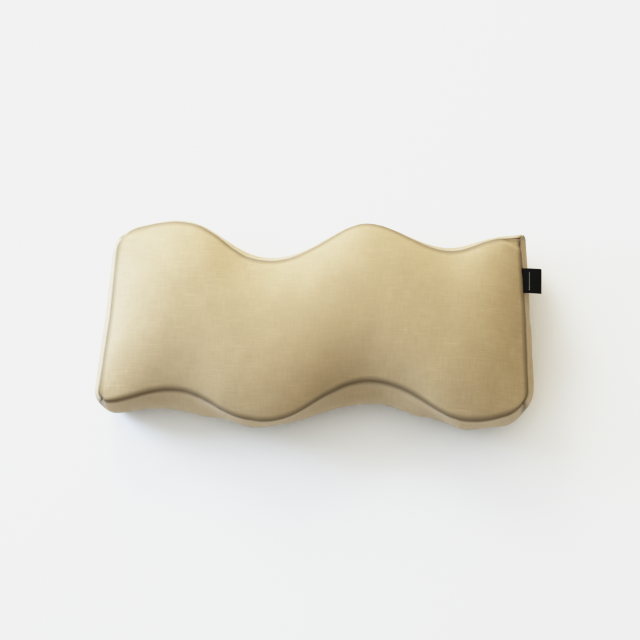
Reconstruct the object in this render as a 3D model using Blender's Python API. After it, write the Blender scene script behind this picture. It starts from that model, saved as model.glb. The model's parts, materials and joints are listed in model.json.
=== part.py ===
"""Lumbar support cushion: a wavy box cushion lying on its back panel.

The removable cover is sewn from panels and closes with a zip low on its left end.
Inside it sit a sewn inner liner and one shaped foam core.
Metres, +Z up, +X along the cushion towards the labelled end, -Y its near side.
"""
import math
from collections import namedtuple

import bmesh
import bpy
from mathutils import Matrix, Vector

# Plan of the cushion, seam to seam.
NEAR_LENGTH = 0.470      # along the near edge
END_LEAN = 0.010         # each end leans in by this much towards the far edge
PANEL_WIDTH = 0.190      # between the mean lines of the two wavy edges
# Crests and troughs of each wavy edge: place along X, and reach past the mean line towards +Y.
FAR_WAVE = ((-0.250, -0.004), (-0.155, 0.014), (-0.051, -0.027), (0.058, 0.017), (0.148, -0.011), (0.222, 0.008))
NEAR_WAVE = ((-0.235, -0.002), (-0.156, 0.013), (-0.053, -0.019), (0.060, 0.027), (0.181, -0.009), (0.255, 0.010))

# Section of the cushion.
BAND_HEIGHT = 0.070      # between the back and front seams
FRONT_CROWN = 0.024      # rise of the front panel above its seam
BACK_CROWN = 0.008       # drop of the back panel below its seam
CROWN_RUN = 0.060        # how far in from a seam the crown reaches its full rise
SIDE_BULGE = 0.007       # how far the long bands swell past their seams
END_BULGE = 0.006        # the same for the two ends
SIDE_RUN = 0.030         # how far from a corner a long band reaches its full swell
END_RUN = 0.014          # the same for the two ends

# Cloth and the room between the layers.
COVER_CLOTH = 0.0012
LINER_CLOTH = 0.0008
LABEL_CLOTH = 0.0004
GAP = 0.0003             # between pieces that touch
SLOPE_ROOM = 1.3         # a slanting wall takes this much more room, measured straight across
TOP_ROOM = 0.0006        # between the front panels of cover, liner and core

# Woven label in the right end's front seam, and the care label inside that end.
LABEL_REACH = 0.020
LABEL_WIDTH = 0.028
LABEL_THICKNESS = 0.0012
LABEL_PLACE = 0.738      # fraction of the end's width, from the near edge
CARE_WIDTH = 0.030
CARE_DROP = 0.034
CARE_PLACE = 0.45
CARE_ROOM = 0.0008       # between the end panel and the care label behind it

# Zip: coil bars on tapes behind a slot in the left end, and a slider with a pull.
ZIP_HEIGHT = 0.030       # above the surface that the cushion lies on
ZIP_END_MARGIN = 0.022   # from each corner to the end of the tapes
SLOT_WIDTH = 0.0072
SLOT_SHORT = 0.004       # the slot ends this far before the tapes do
TAPE_WIDTH = 0.0085
TAPE_THICKNESS = 0.0005
TAPE_ROOM = 0.0010       # between the flat tapes and the middle of the curved end in front of them
TAPE_BACKING = 0.0006    # between the tapes and the liner behind them
COIL_WIDTH = 0.0021
COIL_THICKNESS = 0.0014
STOP_LENGTH = 0.0028
STOP_HEIGHT = 0.0018
SLIDER_LENGTH = 0.011
SLIDER_WIDTH = 0.0086
SLIDER_PLATE = 0.0012
LIP_THICKNESS = 0.0005
BRIDGE_WIDTH = 0.0020
BRIDGE_BAR = 0.0008
BRIDGE_SPAN = 0.0046     # clear length under the bridge
BRIDGE_CLEAR = 0.0018    # clear height under the bridge
PULL_LENGTH = 0.020
PULL_WIDTH = 0.0060
PULL_THICKNESS = 0.0010
PULL_BAR = 0.0009        # bar of the pull's eye, which turns under the bridge
PULL_ARM_GAP = 0.0003    # between the bridge and each arm of the eye

# Fineness of the panels.
EDGE_STEPS = (0.0, 0.008, 0.024)   # distances from a seam of the first lines of points
LENGTH_STEP = 0.017
WIDTH_STEP = 0.036
BAND_LEVELS = (0.0, 0.25, 0.5, 0.75, 1.0)
SHARP_ANGLE = math.radians(35)

Layer = namedtuple("Layer", "side front back cloth")
COVER = Layer(0.0, 0.0, 0.0, COVER_CLOTH)
TAPE_DEPTH = COVER_CLOTH + TAPE_ROOM
LINER = Layer(TAPE_DEPTH + TAPE_THICKNESS + TAPE_BACKING, COVER_CLOTH + TOP_ROOM, COVER_CLOTH + GAP, LINER_CLOTH)
CORE = Layer(LINER.side + LINER_CLOTH * SLOPE_ROOM + GAP, LINER.front + LINER_CLOTH + TOP_ROOM,
             LINER.back + LINER_CLOTH + GAP, 0.0)
BACK_SEAM = BACK_CROWN
FRONT_SEAM = BACK_CROWN + BAND_HEIGHT


# ---------------------------------------------------------------- shape of the cushion

def wave(crests, x):
    """Reach of a wavy edge at x: half cosine waves from one crest or trough to the next."""
    if x <= crests[0][0]:
        return crests[0][1]
    for (x0, y0), (x1, y1) in zip(crests, crests[1:]):
        if x <= x1:
            return y0 + (y1 - y0) * (1 - math.cos(math.pi * (x - x0) / (x1 - x0))) / 2
    return crests[-1][1]


def swell(distance, run):
    """Share of a crown or bulge reached at a distance from its seam."""
    return math.sin(math.pi / 2 * min(max(distance / run, 0.0), 1.0))


def plan(layer, u, v):
    """Point of a layer's plan: u from the left end to the right, v from the near edge to the far."""
    half = NEAR_LENGTH / 2 - END_LEAN * v - layer.side
    x = half * (2 * u - 1)
    near = -PANEL_WIDTH / 2 + wave(NEAR_WAVE, x) + layer.side
    far = PANEL_WIDTH / 2 + wave(FAR_WAVE, x) - layer.side
    return x, near + (far - near) * v


def edge_distance(fraction, length):
    return min(fraction, 1 - fraction) * length


def face_point(layer, front, u, v):
    """Point of the crowned front or back panel."""
    x, y = plan(layer, u, v)
    rise = swell(edge_distance(u, NEAR_LENGTH), CROWN_RUN) * swell(edge_distance(v, PANEL_WIDTH), CROWN_RUN)
    if front:
        return Vector((x, y, FRONT_SEAM - layer.front + FRONT_CROWN * rise))
    return Vector((x, y, BACK_SEAM + layer.back - BACK_CROWN * rise))


def band_swell(layer, z):
    low, high = BACK_SEAM + layer.back, FRONT_SEAM - layer.front
    return math.sin(math.pi * (z - low) / (high - low))


def side_point(layer, far, u, z):
    """Point of the long band on the near or far side."""
    x, y = plan(layer, u, 1.0 if far else 0.0)
    out = SIDE_BULGE * swell(edge_distance(u, NEAR_LENGTH), SIDE_RUN) * band_swell(layer, z)
    return Vector((x, y + out if far else y - out, z))


def end_point(layer, right, v, z):
    """Point of the band at the left or right end."""
    x, y = plan(layer, 1.0 if right else 0.0, v)
    out = END_BULGE * swell(edge_distance(v, PANEL_WIDTH), END_RUN) * band_swell(layer, z)
    return Vector((x + out if right else x - out, y, z))


def stations(length, step, edges=EDGE_STEPS):
    """Fractions along a length: set distances at both edges and even steps between."""
    inner = length - 2 * edges[-1]
    count = max(1, round(inner / step))
    distances = list(edges[:-1])
    distances += [edges[-1] + inner * k / count for k in range(count + 1)]
    distances += [length - d for d in reversed(edges[:-1])]
    return [d / length for d in distances]


def between(low, high, levels=BAND_LEVELS):
    return [low + (high - low) * level for level in levels]


def band_levels(layer):
    """Heights of a layer's bands, which stop short of the panels above and below them."""
    room = (layer.cloth + GAP) if layer.cloth else 0.0
    return between(BACK_SEAM + layer.back + room, FRONT_SEAM - layer.front - room)


ALONG = stations(NEAR_LENGTH, LENGTH_STEP)
ACROSS = stations(PANEL_WIDTH, WIDTH_STEP)


# ---------------------------------------------------------------- making objects

def clear_scene():
    for obj in list(bpy.data.objects):
        bpy.data.objects.remove(obj)


def make_material(name, colour, roughness, metallic=0.0):
    material = bpy.data.materials.new(name)
    material.use_nodes = True
    shader = material.node_tree.nodes["Principled BSDF"]
    shader.inputs["Base Color"].default_value = (*colour, 1.0)
    shader.inputs["Roughness"].default_value = roughness
    shader.inputs["Metallic"].default_value = metallic
    return material


def make_object(name, mesh, material, parent, location=(0, 0, 0)):
    obj = bpy.data.objects.new(name, mesh)
    bpy.context.scene.collection.objects.link(obj)
    obj.parent = parent
    obj.location = location
    mesh.materials.append(material)
    return obj


def mesh_from(bm, name):
    mesh = bpy.data.meshes.new(name)
    bm.to_mesh(mesh)
    bm.free()
    mesh.shade_smooth()
    mesh.set_sharp_from_angle(angle=SHARP_ANGLE)
    return mesh


def grid(bm, columns, rows, place):
    """Add a sheet of quads whose corners are place(column, row)."""
    made = bmesh.ops.create_grid(bm, x_segments=len(columns) - 1, y_segments=len(rows) - 1, size=0.5)["verts"]
    for vert in made:
        i = round((vert.co.x + 0.5) * (len(columns) - 1))
        j = round((vert.co.y + 0.5) * (len(rows) - 1))
        vert.co = place(columns[i], rows[j])
    return made


def cloth_panel(name, columns, rows, place, outward, thickness, material, parent):
    """A sewn panel: a sheet of points, thickened towards the inside of the cushion."""
    bm = bmesh.new()
    grid(bm, columns, rows, place)
    bm.normal_update()
    total = sum((face.normal * face.calc_area() for face in bm.faces), Vector())
    if total.dot(Vector(outward)) < 0:
        bmesh.ops.reverse_faces(bm, faces=bm.faces)
    obj = make_object(name, mesh_from(bm, name), material, parent)
    wall = obj.modifiers.new("cloth", "SOLIDIFY")
    wall.thickness = thickness
    wall.offset = -1.0
    return obj


def solid_block(bm, low, high):
    """Add a closed box between two corners."""
    low, high = Vector(low), Vector(high)
    place = Matrix.Translation((low + high) / 2) @ Matrix.Diagonal((*(high - low), 1.0))
    bmesh.ops.create_cube(bm, size=1.0, matrix=place)


def block_object(name, low, high, material, parent, location=(0, 0, 0)):
    bm = bmesh.new()
    solid_block(bm, low, high)
    return make_object(name, mesh_from(bm, name), material, parent, location)


def combine(obj, tools, operation):
    """Add or cut other solids, which stay in the file as hidden guides."""
    for tool in tools:
        tool.hide_render = True
        tool.display_type = "WIRE"
        modifier = obj.modifiers.new(tool.name, "BOOLEAN")
        modifier.operation = operation
        modifier.object = tool


# ---------------------------------------------------------------- cover, liner and core

def add_faces(layer, front_name, back_name, material, parent):
    for name, front in ((front_name, True), (back_name, False)):
        cloth_panel(name, ALONG, ACROSS, lambda u, v, front=front: face_point(layer, front, u, v),
                    (0, 0, 1 if front else -1), layer.cloth, material, parent)


def add_sides(layer, near_name, far_name, material, parent):
    levels = band_levels(layer)
    for name, far in ((near_name, False), (far_name, True)):
        cloth_panel(name, ALONG, levels, lambda u, z, far=far: side_point(layer, far, u, z),
                    (0, 1 if far else -1, 0), layer.cloth, material, parent)


def end_margin(layer):
    """Distance from a corner at which an end panel stops, clear of the long band's wall."""
    return (layer.cloth * SLOPE_ROOM + GAP) * SLOPE_ROOM


def end_stations(layer, edges):
    """Fractions across an end, from just inside one long band to just inside the other."""
    margin = end_margin(layer)
    inner = stations(PANEL_WIDTH - 2 * margin, WIDTH_STEP, edges)
    return [(margin + f * (PANEL_WIDTH - 2 * margin)) / PANEL_WIDTH for f in inner]


def add_end(layer, name, right, material, parent):
    cloth_panel(name, end_stations(layer, (0.0, END_RUN / 2, END_RUN)), band_levels(layer),
                lambda v, z: end_point(layer, right, v, z),
                (1 if right else -1, 0, 0), layer.cloth, material, parent)


def add_zip_end(material, parent):
    """The left end of the cover: an upper and a lower strip with the zip's slot between them."""
    slot_start = ZIP_END_MARGIN + SLOT_SHORT
    columns = end_stations(COVER, (0.0, END_RUN / 2, END_RUN, slot_start - 0.002, slot_start))
    levels = band_levels(COVER)

    def lip(v):
        in_slot = edge_distance(v, PANEL_WIDTH) > slot_start - 0.001
        return SLOT_WIDTH / 2 if in_slot else GAP / 2

    def upper(v, share):
        low = ZIP_HEIGHT + lip(v)
        return end_point(COVER, False, v, low + (levels[-1] - low) * share)

    def lower(v, share):
        high = ZIP_HEIGHT - lip(v)
        return end_point(COVER, False, v, levels[0] + (high - levels[0]) * share)

    for name, place, shares in (("left_end_upper", upper, BAND_LEVELS), ("left_end_lower", lower, (0.0, 0.5, 1.0))):
        cloth_panel(name, columns, shares, place, (-1, 0, 0), COVER.cloth, material, parent)


def add_core(material, parent):
    """The foam core: six sheets of points sewn into one closed solid."""
    low, high = BACK_SEAM + CORE.back, FRONT_SEAM - CORE.front
    levels = between(low, high)
    bm = bmesh.new()
    for front in (True, False):
        grid(bm, ALONG, ACROSS, lambda u, v: face_point(CORE, front, u, v))
    for far in (True, False):
        grid(bm, ALONG, levels, lambda u, z: side_point(CORE, far, u, z))
    for right in (True, False):
        grid(bm, ACROSS, levels, lambda v, z: end_point(CORE, right, v, z))
    bmesh.ops.remove_doubles(bm, verts=bm.verts, dist=0.00005)
    bmesh.ops.recalc_face_normals(bm, faces=bm.faces)
    make_object("foam_core", mesh_from(bm, "foam_core"), material, parent)


# ---------------------------------------------------------------- labels

def add_side_label(material, parent):
    """The folded loop label, held in the seam between the front panel and the right end."""
    top = FRONT_SEAM - COVER_CLOTH
    near_corner = LABEL_PLACE - LABEL_WIDTH / 2 / PANEL_WIDTH
    x = end_point(COVER, True, near_corner, top - LABEL_THICKNESS).x
    y = plan(COVER, 1.0, LABEL_PLACE)[1]
    low = (x + GAP, y - LABEL_WIDTH / 2, top - LABEL_THICKNESS)
    high = (x + GAP + LABEL_REACH, y + LABEL_WIDTH / 2, top)
    label = block_object("side_label", low, high, material, parent)
    fold = label.modifiers.new("fold", "BEVEL")
    fold.width = LABEL_THICKNESS * 0.3
    fold.segments = 1


def add_care_label(material, parent):
    """The care label, hanging inside the right end from its front seam."""
    place = Layer(COVER_CLOTH + CARE_ROOM, 0.0, 0.0, LABEL_CLOTH)
    top = band_levels(COVER)[-1] - GAP
    half = CARE_WIDTH / 2 / PANEL_WIDTH
    cloth_panel("care_label", [CARE_PLACE - half, CARE_PLACE, CARE_PLACE + half],
                between(top - CARE_DROP, top), lambda v, z: end_point(place, True, v, z),
                (1, 0, 0), LABEL_CLOTH, material, parent)


# ---------------------------------------------------------------- zip

def zip_frame(parent):
    """An empty on the cover's left end: X the way the slider opens, Y up the end, Z outwards."""
    here = end_point(COVER, False, 0.5, ZIP_HEIGHT)
    opening = (end_point(COVER, False, 0.4, ZIP_HEIGHT) - end_point(COVER, False, 0.6, ZIP_HEIGHT)).normalized()
    upward = end_point(COVER, False, 0.5, ZIP_HEIGHT + 0.001) - end_point(COVER, False, 0.5, ZIP_HEIGHT - 0.001)
    outward = opening.cross(upward).normalized()
    upward = outward.cross(opening)
    frame = bpy.data.objects.new("zip_frame", None)
    bpy.context.scene.collection.objects.link(frame)
    frame.parent = parent
    turn = Matrix((opening, upward, outward)).transposed().to_4x4()
    frame.matrix_local = Matrix.Translation(here) @ turn
    return frame


def zip_half_length():
    near, far = end_point(COVER, False, 0.0, ZIP_HEIGHT), end_point(COVER, False, 1.0, ZIP_HEIGHT)
    return (far - near).length / 2 - ZIP_END_MARGIN


def coil_half_length():
    return zip_half_length() - SLOT_SHORT - STOP_LENGTH - 2 * GAP


def slider_travel():
    return 2 * coil_half_length() - SLIDER_LENGTH


def add_zip_tapes_and_coils(tape, coil, frame):
    """Two tapes behind the slot, with a coil bar along the inner edge of each."""
    half, coil_half = zip_half_length(), coil_half_length()
    coil_low = GAP - TAPE_DEPTH
    for name, sign in (("upper", 1), ("lower", -1)):
        inner, outer = sign * GAP / 2, sign * (GAP / 2 + TAPE_WIDTH)
        rim = sign * (GAP / 2 + COIL_WIDTH)
        block_object("zip_tape_" + name, (-half, min(inner, outer), -TAPE_DEPTH - TAPE_THICKNESS),
                     (half, max(inner, outer), -TAPE_DEPTH), tape, frame)
        block_object("zip_coil_" + name, (-coil_half, min(inner, rim), coil_low),
                     (coil_half, max(inner, rim), coil_low + COIL_THICKNESS), coil, frame)


def add_zip_stops(metal, frame):
    """A stop on each tape where the zip closes, and one across both where it is fully open."""
    start, base = coil_half_length() + GAP, -TAPE_DEPTH + GAP
    for name, sign in (("upper", 1), ("lower", -1)):
        inner, rim = sign * GAP / 2, sign * (GAP / 2 + COIL_WIDTH)
        block_object("zip_top_stop_" + name, (-start - STOP_LENGTH, min(inner, rim), base),
                     (-start, max(inner, rim), base + STOP_HEIGHT), metal, frame)
    half = GAP / 2 + COIL_WIDTH
    block_object("zip_bottom_stop", (start, -half, base), (start + STOP_LENGTH, half, base + STOP_HEIGHT),
                 metal, frame)


def bridge_levels():
    """Heights of the bridge's underside and top above the cover's outer face."""
    plate_top = GAP + SLIDER_PLATE
    return plate_top, plate_top + BRIDGE_CLEAR, plate_top + BRIDGE_CLEAR + BRIDGE_BAR


def add_slider(metal, frame):
    """The slider: a plate with a lip each side of the coils, and a bridge that holds the pull."""
    half, plate_top = SLIDER_LENGTH / 2, GAP + SLIDER_PLATE
    lip_in = GAP / 2 + COIL_WIDTH + GAP
    lip_low = -TAPE_DEPTH + GAP
    _, under, top = bridge_levels()
    span, leg = BRIDGE_SPAN / 2, BRIDGE_SPAN / 2 + BRIDGE_BAR
    wide = BRIDGE_WIDTH / 2
    place = (-slider_travel() / 2, 0, 0)
    bite = SLIDER_PLATE / 2
    slider = block_object("zip_slider", (-half, -SLIDER_WIDTH / 2, GAP), (half, SLIDER_WIDTH / 2, plate_top),
                          metal, frame, place)
    extras = []
    for name, sign in (("upper", 1), ("lower", -1)):
        side = sorted((sign * lip_in, sign * (lip_in + LIP_THICKNESS)))
        extras.append(block_object("slider_lip_" + name, (-half, side[0], lip_low),
                                   (half, side[1], GAP + bite), metal, frame, place))
    bridge = block_object("slider_bridge", (-leg, -wide, plate_top - bite), (leg, wide, top), metal, frame, place)
    window = block_object("slider_window", (-span, -wide * 2, plate_top), (span, wide * 2, under),
                          metal, frame, place)
    combine(bridge, [window], "DIFFERENCE")
    combine(slider, extras + [bridge], "UNION")


def add_pull(metal, frame):
    """The pull: a tab with an eye whose bar turns under the slider's bridge; its origin is on that bar."""
    plate_top, under, top = bridge_levels()
    axis_height = (plate_top + under) / 2
    reach = math.hypot(BRIDGE_SPAN / 2 + BRIDGE_BAR, top - axis_height)
    eye = reach + PULL_THICKNESS / 4
    bar, thick, wide = PULL_BAR / 2, PULL_THICKNESS / 2, PULL_WIDTH / 2
    place = (-slider_travel() / 2, 0, axis_height)
    pull = block_object("zip_pull", (-bar, -wide, -thick), (PULL_LENGTH, wide, thick), metal, frame, place)
    arm = BRIDGE_WIDTH / 2 + PULL_ARM_GAP
    hole = block_object("pull_eye", (bar, -arm, -thick * 3), (eye, arm, thick * 3), metal, frame, place)
    combine(pull, [hole], "DIFFERENCE")


# ---------------------------------------------------------------- assembly

def seat_on_origin(base):
    """Move the whole cushion so that the middle of its underside is at the world's origin."""
    bpy.context.view_layer.update()
    graph = bpy.context.evaluated_depsgraph_get()
    corners = []
    for obj in bpy.data.objects:
        if obj.type == "MESH" and not obj.hide_render:
            shape = obj.evaluated_get(graph)
            corners += [shape.matrix_world @ Vector(corner) for corner in shape.bound_box]
    low = [min(corner[k] for corner in corners) for k in range(3)]
    high = [max(corner[k] for corner in corners) for k in range(3)]
    base.location = (-(low[0] + high[0]) / 2, -(low[1] + high[1]) / 2, -low[2])
    bpy.context.view_layer.update()


def build():
    clear_scene()
    base = bpy.data.objects.new("cushion_base", None)
    bpy.context.scene.collection.objects.link(base)
    linen = make_material("linen", (0.62, 0.53, 0.38), 0.9)
    lining = make_material("lining", (0.85, 0.84, 0.80), 0.9)
    foam = make_material("foam", (0.90, 0.86, 0.70), 0.95)
    label = make_material("label_black", (0.02, 0.02, 0.02), 0.7)
    care = make_material("care_white", (0.90, 0.90, 0.88), 0.6)
    tape = make_material("zip_tape", (0.60, 0.52, 0.38), 0.85)
    coil = make_material("zip_coil", (0.55, 0.47, 0.33), 0.45)
    metal = make_material("zip_metal", (0.45, 0.42, 0.38), 0.35, 1.0)

    add_faces(COVER, "front_panel", "back_panel", linen, base)
    add_sides(COVER, "near_side_band", "far_side_band", linen, base)
    add_end(COVER, "right_end_panel", True, linen, base)
    add_zip_end(linen, base)
    add_faces(LINER, "liner_front", "liner_back", lining, base)
    add_sides(LINER, "liner_near_band", "liner_far_band", lining, base)
    add_end(LINER, "liner_right_end", True, lining, base)
    add_end(LINER, "liner_left_end", False, lining, base)
    add_core(foam, base)
    add_side_label(label, base)
    add_care_label(care, base)

    frame = zip_frame(base)
    add_zip_tapes_and_coils(tape, coil, frame)
    add_zip_stops(metal, frame)
    add_slider(metal, frame)
    add_pull(metal, frame)
    seat_on_origin(base)


build()
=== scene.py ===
"""Lumbar support cushion in its linen cover: soft goods, labels, zip and stage around the fixed frame."""
import json
import math

import bmesh
import bpy
import numpy as np
from bpy.props import FloatProperty, FloatVectorProperty, IntProperty, PointerProperty
from mathutils import Matrix, Vector, noise
from mathutils.bvhtree import BVHTree
from mathutils.kdtree import KDTree


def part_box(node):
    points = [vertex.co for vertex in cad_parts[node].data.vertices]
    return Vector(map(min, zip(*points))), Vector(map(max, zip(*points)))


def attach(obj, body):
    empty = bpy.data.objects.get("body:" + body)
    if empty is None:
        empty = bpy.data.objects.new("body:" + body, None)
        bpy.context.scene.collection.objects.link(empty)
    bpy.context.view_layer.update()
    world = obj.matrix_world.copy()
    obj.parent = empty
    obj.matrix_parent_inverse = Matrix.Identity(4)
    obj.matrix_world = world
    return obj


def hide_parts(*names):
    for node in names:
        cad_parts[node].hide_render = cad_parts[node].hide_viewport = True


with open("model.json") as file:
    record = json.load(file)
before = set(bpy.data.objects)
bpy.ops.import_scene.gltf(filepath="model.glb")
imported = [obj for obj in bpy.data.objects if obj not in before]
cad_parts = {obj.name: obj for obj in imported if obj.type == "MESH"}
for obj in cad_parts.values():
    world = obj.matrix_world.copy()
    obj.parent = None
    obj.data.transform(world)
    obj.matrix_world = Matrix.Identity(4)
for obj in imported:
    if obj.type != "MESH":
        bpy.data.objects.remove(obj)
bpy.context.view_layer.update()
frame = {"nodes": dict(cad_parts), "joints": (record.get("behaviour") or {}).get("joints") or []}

bl_info = {
    "name": "Lumbar Cushion",
    "version": (1, 0, 0),
    "blender": (4, 5, 0),
    "location": "3D View > Sidebar > Cushion",
    "description": "Builds a wavy lumbar cushion in a zipped linen cover, its lining, foam, labels and stage",
    "category": "Add Mesh",
}

FRONT, BACK, NEAR, FAR, LEFT, RIGHT = range(6)
SEAM_BAND = 5e-5                # how flat a row of points on a frame piece is, in metres
SEAM_ALLOWANCE = 0.0015         # from a band's cut edge to the seam line
EDGE_COLUMNS = (0.0, 0.0065, 0.013, 0.0195, 0.026)   # first lines of points in from a seam
BELOW_ZIP, ABOVE_ZIP = 4, 8     # lines of points on the bands, below and above the zip's slot
# where the stuffed cover's long edges lean past the bands' line: share of the length, and metres away from the middle
LEANS = {NEAR: ((0.29, 0.0035), (0.80, 0.0055)), FAR: ((0.31, -0.0035), (0.61, 0.0032), (0.91, 0.0035))}
LEAN_SPREAD = 0.055             # half width of a lean, as a share of the length
PUFFS = {NEAR: 0.82, FAR: 0.2}  # how much more a long band swells in the dips of its wave
CREASE = (-0.016, -0.0045, 0), (0, -0.0115, 0)       # ends of the crease, from the far right corner
LINER_ROUNDS, CORE_ROUNDS = 14, 20                   # how often the inner layers are smoothed
CREASE_DEPTH, LIP_HEIGHT = 0.0026, 0.0012            # of that crease, and of the roll of cloth beside it
CLOTH = {"quality": 6, "mass": 0.25, "tension_stiffness": 18, "compression_stiffness": 12, "shear_stiffness": 6,
         "bending_stiffness": 0.6, "use_pressure": True, "shrink_min": 0.0}
PUCKER_PITCH, PUCKER_REACH = 0.0085, 0.011           # along a seam, and how far out from it the puckers run
CORNER_REACH = 0.06             # how far out from a corner its folds run
UNEVENNESS = ((0.0011, 0.075, (3.1, 0.4, 9.0)), (0.00035, 0.024, (1.7, 5.5, 2.0)))   # height, size and start
SEAM_PAINTED_SHADE, CORNER_PAINTED_SHADE = 0.03, 0.9                 # how much darker a seam's valley is painted, as shade in the groove along with the thread's own colour, and far more as painted shade in a corner's pit
CORNER_DEPTH = 5.0              # how much deeper a seam's valley is at a corner, as a share
FLOOR_GAP = 0.0001              # lowest that the cover comes
SLOT_HEIGHT = 0.0072            # opening in the cover that shows the zip
SLOT_HEM = 0.0017               # how far the slot's edges turn in
COIL_PITCH = 0.00125
STITCH_STEP, STITCH_REACH = 0.0032, 0.0056           # along a row of stitches, and from the zip's middle to a row
# each lamp's place, its aim and its width
LAMPS = {"left": ((-0.75, 0.15, 0.42), (0, 0, 0.05), 0.35), "right": ((1.5, -0.25, 0.05), (0.23, 0, 0.03), 0.25),
         "near": ((0.3, -1.5, 0.05), (0.1, -0.1, 0.03), 0.25), "far": ((-0.35, 0.75, 0.6), (0, 0, 0.05), 0.5)}
PRINT_STEPS = (0.0, 0.12, 0.25, 0.38, 0.52, 0.68, 0.85, 1.05, 1.3, 1.6, 2.0, 2.6, 4.0)   # scene light
PAPER_WHITE = 0.885             # the brightest that the print gets


# ---------------------------------------------------------------- settings

def as_number(name, description, default):
    return FloatProperty(name=name, description=description, default=default)


def as_length(name, description, default):
    return FloatProperty(name=name, description=description, default=default, unit="LENGTH")


def as_angle(name, description, degrees):
    return FloatProperty(name=name, description=description, default=math.radians(degrees), subtype="ANGLE")


def as_colour(name, description, default):
    return FloatVectorProperty(name=name, description=description, default=default, subtype="COLOR", size=3)


class CushionShape(bpy.types.PropertyGroup):
    """Sizes of the stuffed cover."""
    mesh_step: as_length("Mesh step", "Spacing of the cover's points before subdivision", 0.0075)
    front_crown: as_length("Front crown", "Rise of the front panel above its seam", 0.0235)
    back_crown: as_length("Back crown", "Drop of the back panel below its seam", 0.008)
    crown_run: as_length("Crown run", "Distance from an end at which the crown is full", 0.085)
    back_wave: as_number("Back wave", "Depth of the near wave at the back seam, as a share", 0.68)
    side_bulge: as_length("Side bulge", "Swell of the long bands past their seams", 0.0102)
    end_bulge: as_length("Zip end bulge", "Swell of the left end past its seams", 0.006)
    right_bulge: as_length("Right end bulge", "Swell of the right end past its seams", 0.0115)
    near_fill: as_number("Near corner fill", "Share of the bulge that the near corners keep", 0.42)
    far_fill: as_number("Far corner fill", "Share of the bulge that the far corners keep", 0.95)
    over_zip: as_length("Over zip", "Extra swell of the left end above its zip", 0.0036)
    corner_radii: FloatVectorProperty(name="Corner radii", size=4, unit="LENGTH",
                                      description="Rounding of the near left, near right, far left and far right "
                                                  "corners, where a negative one draws its corner out",
                                      default=(0.013, 0.019, 0.020, -0.008))
    pressure: as_number("Pressure", "How hard the filling presses in the simulation", 4.0)
    seam_shrink: as_number("Seam shrink", "Share by which the sewing draws a seam up", 0.008)
    move_cap: as_length("Move cap", "Furthest that the simulation may move a point", 0.0022)
    frames: IntProperty(name="Frames", description="Length of the simulation", default=20)
    seam_width: as_length("Seam width", "Half the width of the groove at a seam", 0.0009)
    seam_depth: as_length("Seam depth", "Depth of the groove at a seam", 0.0004)
    pucker: as_length("Pucker", "Height of the small puckers beside the seams", 0.0006)
    liner_depth: as_length("Liner depth", "Depth of the liner bag below the cover's surface", 0.0042)
    core_depth: as_length("Core depth", "Depth of the foam core below the cover's surface", 0.0060)


class CushionColours(bpy.types.PropertyGroup):
    """Colours of the cloth and trims."""
    linen: as_colour("Linen", "Cover cloth", (0.4725, 0.382, 0.266))
    lining: as_colour("Lining", "Inner liner", (0.80, 0.78, 0.72))
    foam: as_colour("Foam", "Foam core", (0.86, 0.80, 0.60))
    label: as_colour("Label", "Woven side label", (0.007, 0.007, 0.0075))
    label_mark: as_colour("Label mark", "Pale dashes woven into the label", (0.55, 0.55, 0.53))
    care: as_colour("Care strip", "White strip inside the right end", (0.82, 0.82, 0.80))
    tape: as_colour("Zip tape", "Woven zip tape", (0.34, 0.28, 0.20))
    coil: as_colour("Zip coil", "Plastic zip coil", (0.36, 0.31, 0.23))
    metal: as_colour("Zip metal", "Slider, pull and stops", (0.33, 0.31, 0.285))


class CushionStage(bpy.types.PropertyGroup):
    """Camera, floor, light and print."""
    elevation: as_angle("Elevation", "Camera height above the horizon", 78)
    azimuth: as_angle("Azimuth", "Camera turn about the cushion", 0)
    roll: as_angle("Roll", "Turn of the picture", 1.75)
    distance: as_length("Distance", "Camera to cushion", 1.6)
    lens: as_number("Lens", "Focal length in millimetres", 80.2)
    aim: FloatVectorProperty(name="Aim", description="Point that the camera looks at", subtype="XYZ", size=3,
                             default=(0.0, 0.0071, 0.05), unit="LENGTH")
    floor: as_colour("Floor", "Floor colour", (0.913, 0.914, 0.932))
    room: as_colour("Room", "Even light from all round", (0.705, 0.688, 0.600))
    left_glow: as_colour("Left glow", "Cool light of the window side of the room", (1.01, 1.15, 1.29))
    far_glow: as_colour("Far glow", "Warm light of the far side of the room", (1.02, 0.86, 0.60))
    seen_room: as_colour("Seen room", "What the camera sees past the floor", (2.2, 2.2, 2.2))
    left_lamp: as_colour("Left lamp", "Colour of the soft lamp on the left", (0.95, 1.22, 1.74))
    far_lamp: as_colour("Far lamp", "Colour of the soft lamp on the far side", (1.37, 1.45, 1.40))
    right_lamp: as_colour("Right lamp", "Colour of the low lamp at the labelled end", (0.93, 1.0, 1.15))
    near_lamp: as_colour("Near lamp", "Colour of the low lamp on the near side", (0.88, 1.0, 1.4))
    left_power: as_number("Left power", "Power of the left lamp, in watts", 4.0)
    far_power: as_number("Far power", "Power of the far lamp, in watts", 6.0)
    right_power: as_number("Right power", "Power of the low lamp at the labelled end, in watts", 4.5)
    near_power: as_number("Near power", "Power of the low lamp on the near side, in watts", 5.85)
    exposure: as_number("Exposure", "Brightness of the print", 1.59)
    contrast: as_number("Contrast", "Steepness of the print's middle tones", 2.0)


# ---------------------------------------------------------------- outline from the frame

def node_points(node):
    """Every corner of a frame piece's mesh."""
    return np.array([v.co for v in frame["nodes"][node].data.vertices], float)


def seam_line(node):
    """The top row of a band's outer face, as points from left to right."""
    points = node_points(node)
    top = points[points[:, 2] > points[:, 2].max() - SEAM_BAND]
    top = top[np.argsort(top[:, 0])]
    keep = [0] + [i for i in range(1, len(top)) if top[i, 0] - top[i - 1, 0] > 0.001]
    return top[keep][:, :2]


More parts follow.
